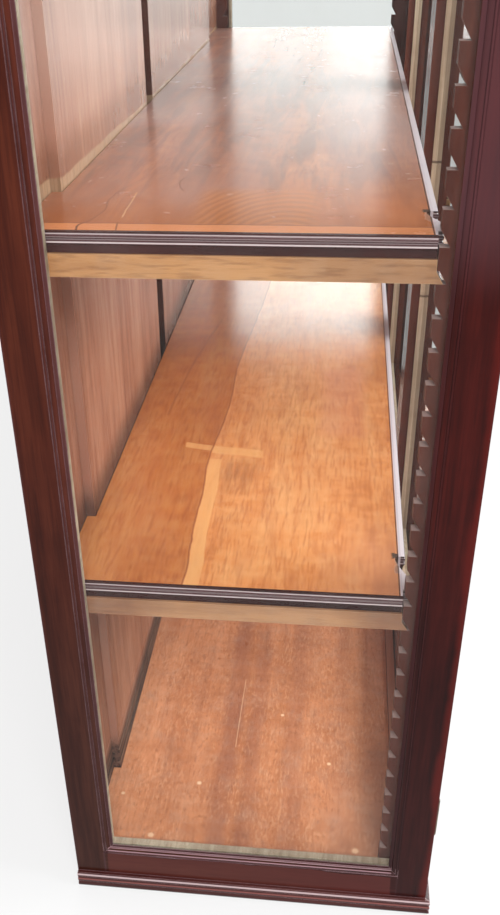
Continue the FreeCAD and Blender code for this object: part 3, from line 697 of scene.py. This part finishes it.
def back_wood(name, grain):
    """Pinkish tan back: painted sheen above the upper shelf, browner toward the bottom, grime and
    painted shade at the foot.
    """
    board = Board(name + "_" + grain, grain, shades(BACK_TONES), figure=0.9, streak=0.45,
                  ripple=0.05, pores=0.45, blotch=0.2)
    n = board.n
    outer_face = n.mix(1.0, board.colour, (0.58, 0.46, 0.38), "MULTIPLY")
    outside = n.facing("Y")
    x, z = n.axes("XZ", wander=0.012, scale=12.0)

    # The whole height, painted light on the near panels' end faces, painted shade in the gap
    # between the panels, and painted sheen above the upper shelf
    before_gap, at_gap = -0.60, -0.50
    board.deepen(n.rise(z, LOWER_TOP + 0.30, LOWER_TOP - 0.10), (0.72, 0.66, 0.60))
    end_face = n.facing("X", -1.0)
    in_gap = n.times(end_face, n.rise(x, before_gap, at_gap))
    # Painted light on the near panels' end faces, painted shade on those in the gap
    board.stain(n.times(end_face, n.rise(x, at_gap, before_gap, 0.8)), shade(210, 154, 130))
    board.deepen(in_gap, (0.32, 0.20, 0.18))
    # Painted sheen above the upper shelf, stronger farther away and left out of the gap
    sheen_far_away = n.plus(n.rise(x, -0.98, -0.30, 0.08), 0.30)
    upper = n.rise(z, UPPER_TOP + 0.02, UPPER_TOP + 0.20)
    board.stain(n.times(sheen_far_away, upper, n.rise(in_gap, 0.6, 0.2)), shade(226, 206, 200))
    board.deepen(n.band(z, LOWER_TOP, UPPER_TOP - 0.10, 0.04), (0.92, 0.86, 0.82))

    # A bare strip along the upper shelf's back edge, narrower farther away, under a dark band
    above = n.minus(z, UPPER_TOP)
    strip_height = n.graded(x, -1.0, -0.17, 0.020, 0.005)
    bare = n.times(n.rise(above, -0.02, -0.01),
                   n.rise(n.minus(above, strip_height), 0.002, -0.002))
    board.deepen(n.band(above, 0.02, 0.03, 0.05, 0.8), (0.62, 0.52, 0.42))
    board.stain(n.times(bare, 0.75), shade(194, 160, 126))
    hatch = n.cloud((1.0, 1.0, 0.05), 220.0, (0.5, 0.0), (0.6, 0.5), detail=2.0)
    board.stain(n.times(bare, hatch), shade(140, 112, 84))

    # Painted shadow under the lower shelf's back edge, and streaky grime with painted shade at
    # the foot
    board.deepen(n.band(z, LOWER_TOP - 0.06, LOWER_TOP + 0.010, 0.06, 0.9), (0.30, 0.28, 0.28))
    grime_and_shade = n.rise(z, FLOOR_BOARD_TOP + 0.09, FLOOR_BOARD_TOP + 0.04, 0.95)
    lines = n.cloud((0.05, 1.0, 1.0), 90.0, (0.42, 0.65), (0.58, 1.0), detail=3.0,
                    roughness=0.6)
    board.stain(n.times(grime_and_shade, lines), shade(40, 31, 26))
    pale_lines = n.cloud((0.04, 1.0, 1.0), 120.0, (0.60, 0.0), (0.65, 0.5), detail=2.0,
                         roughness=0.6, move=(0.0, 0.0, 3.0))
    board.stain(n.times(grime_and_shade, pale_lines), shade(160, 132, 112))
    board.dull(grime_and_shade)
    board.stain(outside, outer_face)
    board.dust(0.10)
    polished = n.times(n.rise(z, UPPER_TOP - 0.03, UPPER_TOP, 0.65), n.rise(outside, 0.6, 0.2))
    gloss = n.times(n.plus(polished, 0.015), n.rise(grime_and_shade, 0.6, 0.1))
    return board.polish(0.14, gloss=gloss)


def ratchet_wood():
    """Dark ratchet strips with dusty ledges."""
    ledge_dust, arris_wear_and_highlight = (0.40, 0.29, 0.27), (0.24, 0.125, 0.10)
    board = Board("ratchet_wood", "Z", RATCHET_TONES, streak=0.4, ripple=0.1)
    board.stain(board.n.times(board.n.facing("Z"), 0.8), ledge_dust)
    board.wear_and_highlight(arris_wear_and_highlight, strength=0.5)
    board.dust(0.03)
    return board.polish(0.34, gloss=0.03)


def bead_wood(name, grain, level):
    """Pale unpolished beads with fine lines, cracks across and dust."""
    board = Board(name + "_" + grain, grain, shades(BEAD_TONES, level), streak=0.5, ripple=0.1,
                  pores=0.5)
    cracks = board.n.cloud(stretched(grain, 40.0), 0.9, (0.69, 0.0), (0.72, 0.8), detail=2.0,
                           roughness=0.5)
    board.stain(cracks, shade(92, 70, 56))
    board.dust(0.35)
    return board.polish(0.55, gloss=0.3)


def bearer_wood():
    """Lighter, barely finished bars under the shelves: the upper pair darker at the front."""
    board = Board("bearer_wood", "Y", shades(BEARER_TONES), figure=1.2, streak=0.4, ripple=0.1,
                  pores=0.5)
    n = board.n
    y, z = n.axes("YZ")
    board.stain(n.rise(z, 1.0, 0.7, 0.35), shade(214, 164, 128))
    upper_front = n.times(n.rise(z, 0.8, 1.0, 0.9), n.rise(y, 0.02, -0.16))
    board.deepen(upper_front, (0.66, 0.66, 0.78))
    both_ends = n.most(n.rise(y, 0.10, 0.19), n.rise(y, -0.12, -0.19))
    board.deepen(n.times(n.rise(z, 1.0, 0.8, 0.9), both_ends), (0.60, 0.52, 0.54))
    board.wear_and_highlight(shade(228, 186, 146), strength=0.6)
    board.dust(0.16)
    return board.polish(0.34, gloss=0.4)


def carcass_wood(grain):
    board = Board("carcass_wood_" + grain, grain, CARCASS_TONES)
    board.dust(0.15)
    return board.polish(0.5, gloss=0.35)


def back_frame_wood(grain):
    board = Board("back_frame_wood_" + grain, grain, BACK_FRAME_TONES, streak=0.4, ripple=0.1)
    board.dust(0.10)
    return board.polish(0.25, gloss=0.4)


def glass(name, film=None):
    """Thin old sheet glass: clear, a Fresnel reflection, a slight wave and a trace of dust.

    A film's colour shows only where the pane is seen almost on edge.
    """
    least_mirror, most_mirror, fall = 0.012, 0.95, 5.0
    wave_scale, wave_strength, wave_depth = 5.0, 0.06, 0.004
    film_begins, film_full = 0.78, 0.89
    n = material_nodes(name)
    clear = n.add("ShaderNodeBsdfTransparent")
    clear.inputs["Color"].default_value = (*CLEAR_GLASS, 1)
    gloss = n.add("ShaderNodeBsdfGlossy")
    gloss.inputs["Roughness"].default_value = 0.02
    gloss.inputs["Color"].default_value = (1, 1, 1, 1)
    wave = n.bump(n.noise(n.coord, wave_scale, 1.0), wave_strength, wave_depth)
    n.link(wave, gloss.inputs["Normal"])
    slant = n.add("ShaderNodeLayerWeight")
    slant.inputs["Blend"].default_value = 0.5
    mirror = n.times(n.math("POWER", slant.outputs["Facing"], fall), most_mirror)
    mirror = n.plus(mirror, least_mirror)
    if film:
        on_edge = n.rise(slant.outputs["Facing"], film_begins, film_full)
        n.link(n.mix(on_edge, CLEAR_GLASS, film), clear.inputs["Color"])
    pane = n.blended(mirror, clear.outputs[0], gloss.outputs[0])
    dust = n.add("ShaderNodeBsdfDiffuse")
    dust.inputs["Color"].default_value = (0.8, 0.78, 0.74, 1)
    smear = n.cloud((1.0, 1.0, 0.5), 9.0, (0.45, 0.0), (0.85, 0.016), detail=6.0,
                    roughness=0.7, distortion=0.5)
    return n.finish(n.blended(smear, pane, dust.outputs[0]))


def metal(name, colour, tarnish, rough):
    """Old metal with spots of tarnish that are rougher too."""
    n = material_nodes(name)
    spots = n.noise(n.coord, TARNISH_SCALE, 6.0, 0.7)
    spotted = n.mix(n.ramp(spots, (0.4, 0.0), (0.7, 0.8)), colour, tarnish)
    roughness = n.plus(rough, n.times(spots, 0.3))
    return n.finish(n.principled(Base_Color=spotted, Metallic=1.0, Roughness=roughness,
                                 Normal=n.bump(spots, 0.1, 0.0004)))


def grain_of(node):
    """The way the piece was cut: along it, or across for nodes that hold a left and a right."""
    if "bearers" in node or node in ("end_base_mouldings", "end_cornices"):
        return "Y"
    low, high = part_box(node)
    spans = dict(zip("XYZ", high - low))
    return max(spans, key=spans.get)


def dress_nodes():
    """Every CAD node gets its wood, glass or metal, with the grain the way it was cut."""
    slots = {part["node"]: part["material_slot"] for part in frame["record"]["subparts"]}
    made = {}

    def once(key, make, *values):
        if key not in made:
            made[key] = make(*values)
        return made[key]

    def finish_of(node):
        slot, grain = slots[node], grain_of(node)
        if "mould" in node or "cornice" in node:
            return once("moulding" + grain, moulding_mahogany, grain)
        if "edging" in node:
            return once("edging", edging_mahogany, "Y")
        if node == "lower_shelf_board":
            return once(node, lower_shelf_wood)
        if node == "upper_shelf_board":
            return once(node, upper_shelf_wood)
        if node == "bottom_board":
            return once(node, bottom_board_wood)
        if slot == "mahogany" and ("door" in node or node.startswith("front_")):
            return once("door" + grain, door_mahogany, grain)
        if "door_glazing_beads" in node:
            return once("door beads" + grain, bead_wood, "door_bead_wood", grain, DOOR_BEAD_LIGHT)
        if "door_glass" in node:
            return once("door glass", glass, "door_sheet_glass", DOOR_FILM)
        if "hinge_leaves" in node:
            return once("hinges", metal, "hinge_brass", *HINGE_BRASS)
        makers = {
            "mahogany": (slot + grain, frame_mahogany, grain),
            "panel_wood": (slot + grain, back_wood, "back_wood", grain),
            "back_mahogany": (slot + grain, back_frame_wood, grain),
            "ratchet_wood": (slot, ratchet_wood),
            "bead_wood": (slot + grain, bead_wood, slot, grain, INSIDE_LIGHT),
            "bearer_wood": (slot, bearer_wood),
            "carcass_wood": (slot + grain, carcass_wood, grain),
            "glass": (slot, glass, "sheet_glass"),
            "brass": (slot, metal, "brass", *BRASS),
            "steel": (slot, metal, "steel", *STEEL)}
        return once(*makers[slot])

    for node, piece in NODES.items():
        piece.data.materials.clear()
        piece.data.materials.append(finish_of(node))


def screw_tree():
    """Slotted screw heads, one on each point of the mesh that carries them."""
    tree = bpy.data.node_groups.new("screw_heads", "GeometryNodeTree")
    face = tree.interface
    inputs = [("Geometry", "Geometry"), ("Head Radius", "Float"), ("Head Height", "Float"),
              ("Slot Width", "Float"), ("Slot Depth", "Float"), ("Facing", "Vector"),
              ("Finish", "Material")]
    for name, kind in inputs:
        face.new_socket(name, in_out="INPUT", socket_type="NodeSocket" + kind)
    face.new_socket("Geometry", in_out="OUTPUT", socket_type="NodeSocketGeometry")
    add = tree.nodes.new
    link = tree.links.new
    given, result = add("NodeGroupInput").outputs, add("NodeGroupOutput")

    def scaled(value, factor):
        node = add("ShaderNodeMath")
        node.operation = "MULTIPLY"
        link(value, node.inputs[0])
        node.inputs[1].default_value = factor
        return node.outputs[0]

    head = add("GeometryNodeMeshCone")
    head.inputs["Vertices"].default_value = HEAD_SIDES
    link(scaled(given["Head Radius"], HEAD_TOP), head.inputs["Radius Top"])
    link(given["Head Radius"], head.inputs["Radius Bottom"])
    link(given["Head Height"], head.inputs["Depth"])
    slot_size = add("ShaderNodeCombineXYZ")
    link(scaled(given["Head Radius"], SLOT_LENGTH), slot_size.inputs[0])
    link(given["Slot Width"], slot_size.inputs[1])
    link(scaled(given["Slot Depth"], 2.0), slot_size.inputs[2])
    slot = add("GeometryNodeMeshCube")
    link(slot_size.outputs[0], slot.inputs["Size"])
    lift = add("ShaderNodeCombineXYZ")
    link(given["Head Height"], lift.inputs[2])
    raised = add("GeometryNodeTransform")
    link(slot.outputs["Mesh"], raised.inputs["Geometry"])
    link(lift.outputs[0], raised.inputs["Translation"])
    cut = add("GeometryNodeMeshBoolean")
    cut.operation = "DIFFERENCE"
    link(head.outputs["Mesh"], cut.inputs[0])
    link(raised.outputs[0], cut.inputs[1])
    spread = add("GeometryNodeInstanceOnPoints")
    link(given["Geometry"], spread.inputs["Points"])
    link(cut.outputs["Mesh"], spread.inputs["Instance"])
    way = add("FunctionNodeEulerToRotation")
    link(given["Facing"], way.inputs[0])
    link(way.outputs[0], spread.inputs["Rotation"])
    chance = add("FunctionNodeRandomValue")
    chance.data_type = "FLOAT"
    chance.inputs["Max"].default_value = SLOT_TURN_MOST
    chance.inputs["Seed"].default_value = SLOT_TURN_SEED
    spin = add("ShaderNodeCombineXYZ")
    link(chance.outputs["Value"], spin.inputs[2])
    turned = add("GeometryNodeRotateInstances")
    link(spread.outputs[0], turned.inputs["Instances"])
    link(spin.outputs[0], turned.inputs["Rotation"])
    real = add("GeometryNodeRealizeInstances")
    link(turned.outputs[0], real.inputs[0])
    finish = add("GeometryNodeSetMaterial")
    link(real.outputs[0], finish.inputs["Geometry"])
    link(given["Finish"], finish.inputs["Material"])
    link(finish.outputs[0], result.inputs[0])
    return tree


def screws(tree, name, body, finish, facing, places, radius):
    """Screw heads as one plain mesh that rides on its body."""
    mesh = bpy.data.meshes.new(name + "_places")
    mesh.from_pydata(places, [], [])
    holder = bpy.data.objects.new(name + "_places", mesh)
    bpy.context.scene.collection.objects.link(holder)
    modifier = holder.modifiers.new("heads", "NODES")
    modifier.node_group = tree
    values = {"Head Radius": radius, "Head Height": radius * HEAD_HEIGHT,
              "Slot Width": radius * SLOT_WIDTH, "Slot Depth": radius * SLOT_DEPTH,
              "Facing": facing, "Finish": finish}
    for item in tree.interface.items_tree:
        if item.in_out == "INPUT" and item.name in values:
            modifier[item.identifier] = values[item.name]
    holder.update_tag()
    seen = bpy.context.evaluated_depsgraph_get()
    plain = bpy.data.meshes.new_from_object(holder.evaluated_get(seen))
    bpy.data.objects.remove(holder)
    piece = bpy.data.objects.new(name, plain)
    plain.name = name
    bpy.context.scene.collection.objects.link(piece)
    plain.materials.clear()
    plain.materials.append(finish)
    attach(piece, body)


def fit_screws():
    """Screws of the lock, its keeper, the bolt guides and ratchets, and the escutcheon's pins."""
    tree = screw_tree()
    old_steel = metal("screw_steel", *SCREW_STEEL)
    pin_brass = metal("pin_brass", *PIN_BRASS)
    quarter = math.pi / 2
    inward, outward = (-quarter, 0, 0), (quarter, 0, 0)
    lock_head, keeper_head, guide_head, pin_head = 0.0026, 0.0024, 0.0018, 0.0012
    ratchet_head = 0.0034

    low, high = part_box("lock_case")
    inset = 0.005
    case = [(x, high.y, z)
            for x in (low.x + inset, high.x - inset) for z in (low.z + inset, high.z - inset)]
    screws(tree, "lock_case_screws", "right_door", old_steel, inward, case, lock_head)

    low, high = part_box("lock_keeper")
    keeper = [((low.x + high.x) / 2, high.y, z) for z in (low.z + inset, high.z - inset)]
    screws(tree, "lock_keeper_screws", "left_door", old_steel, inward, keeper,
           keeper_head)

    low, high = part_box("door_bolt_guides")
    plate_thickness, edge, steps = 0.003, 0.003, (0.004, 0.040, 0.076)
    plate_face = low.y + plate_thickness
    heights = [low.z + step for step in steps] + [high.z - step for step in reversed(steps)]
    guides = [(x, plate_face, z) for x in (low.x + edge, high.x - edge) for z in heights]
    screws(tree, "bolt_guide_screws", "left_door", old_steel, inward, guides,
           guide_head)

    low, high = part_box("keyhole_escutcheon")
    middle, from_middle = (low + high) / 2, 0.0068
    pins = [(middle.x + way * from_middle, low.y, middle.z) for way in (-1, 1)]
    screws(tree, "escutcheon_pins", "right_door", pin_brass, outward, pins,
           pin_head)

    shares_up = (0.03, 0.27, 0.51, 0.75, 0.975)
    for side, way in (("left", 1), ("right", -1)):
        places = []
        for row, share in (("front", 0.36), ("back", 0.70)):
            low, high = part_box(row + "_" + side + "_ratchet")
            face = high.x if way > 0 else low.x
            across = low.y + (high.y - low.y) * share
            places += [(face, across, low.z + (high.z - low.z) * up) for up in shares_up]
        screws(tree, side + "_ratchet_screws", "cabinet", old_steel,
               (0, way * quarter, 0), places, ratchet_head)


def lay_floor():
    """Plain pale floor that keeps the cabinet's shadow."""
    reach, paint, white_share = 30.0, 0.65, 0.7
    mesh = bpy.data.meshes.new("floor")
    corners = [(-reach, -reach, 0), (reach, -reach, 0), (reach, reach, 0), (-reach, reach, 0)]
    mesh.from_pydata(corners, [], [(0, 1, 2, 3)])
    floor = bpy.data.objects.new("floor", mesh)
    bpy.context.scene.collection.objects.link(floor)
    n = material_nodes("floor")
    rays = n.add("ShaderNodeLightPath").outputs
    ground = n.principled(Base_Color=(paint, paint, paint), Roughness=0.9, Specular_IOR_Level=0.0)
    white = n.add("ShaderNodeEmission")
    white.inputs["Strength"].default_value = 1.0
    seen = n.plus(rays["Is Camera Ray"], rays["Is Glossy Ray"])
    seen = n.plus(seen, rays["Is Transmission Ray"], clamp=True)
    mesh.materials.append(n.finish(n.blended(n.times(seen, white_share), ground,
                                             white.outputs[0])))


def light_studio():
    """White surroundings with a soft dome, two far windows and two lamps."""
    world = bpy.data.worlds.new("studio")
    bpy.context.scene.world = world
    sky = Nodes(world, "ShaderNodeOutputWorld", "Generated")
    up, ahead_up, ahead = (0.0, 0.0, 1.0), (1.0, -0.1, 0.75), (1.0, -0.1, 0.0)

    def glow(way, start, end, low=0.0, high=1.0):
        """Light that goes from low to high between two cosines of the angle to the given way."""
        toward = sky.add("ShaderNodeVectorMath", operation="DOT_PRODUCT")
        toward.inputs[1].default_value = Vector(way).normalized()
        sky.link(sky.coord, toward.inputs[0])
        return sky.graded(toward.outputs["Value"], start, end, low, high, "SMOOTHSTEP")

    dome = glow(up, 0.15, 0.8, low=0.48, high=0.72)
    high_window = glow(ahead_up, 0.90, 1.0, high=3.5)
    low_window = sky.times(glow(ahead, 0.86, 0.98), glow(up, 0.21, 0.12, high=1.2))
    rays = sky.add("ShaderNodeLightPath").outputs
    white = sky.most(rays["Is Camera Ray"], rays["Is Glossy Ray"], rays["Is Transmission Ray"])
    # In a polished surface the windows show at three times their light
    windows = sky.plus(high_window, low_window)
    mirrored = sky.times(windows, rays["Is Glossy Ray"], 2.0)
    light = sky.plus(dome, sky.plus(windows, mirrored))
    background = sky.add("ShaderNodeBackground")
    background.inputs["Color"].default_value = (1, 1, 1, 1)
    sky.link(sky.most(light, white), background.inputs["Strength"])
    sky.finish(background.outputs[0])

    def lamp(name, place, target, size, power):
        data = bpy.data.lights.new(name, "AREA")
        data.shape = "RECTANGLE"
        data.size, data.size_y = size
        data.energy = power
        light = bpy.data.objects.new(name, data)
        light.location = place
        way = Vector(target) - Vector(place)
        light.rotation_euler = way.to_track_quat("-Z", "Y").to_euler()
        bpy.context.scene.collection.objects.link(light)

    lamp("front_window", place=(-0.4, -3.4, 2.6), target=(0.0, 0.0, 0.9), size=(3.0, 1.6),
         power=205)
    lamp("near_fill", place=(-3.4, -0.45, 3.0), target=(-1.0, 0.0, 0.6), size=(1.6, 1.2),
         power=90)


solved_camera()
dress_nodes()
fit_screws()
lay_floor()
light_studio()
bpy.context.scene.view_settings.view_transform = "Standard"
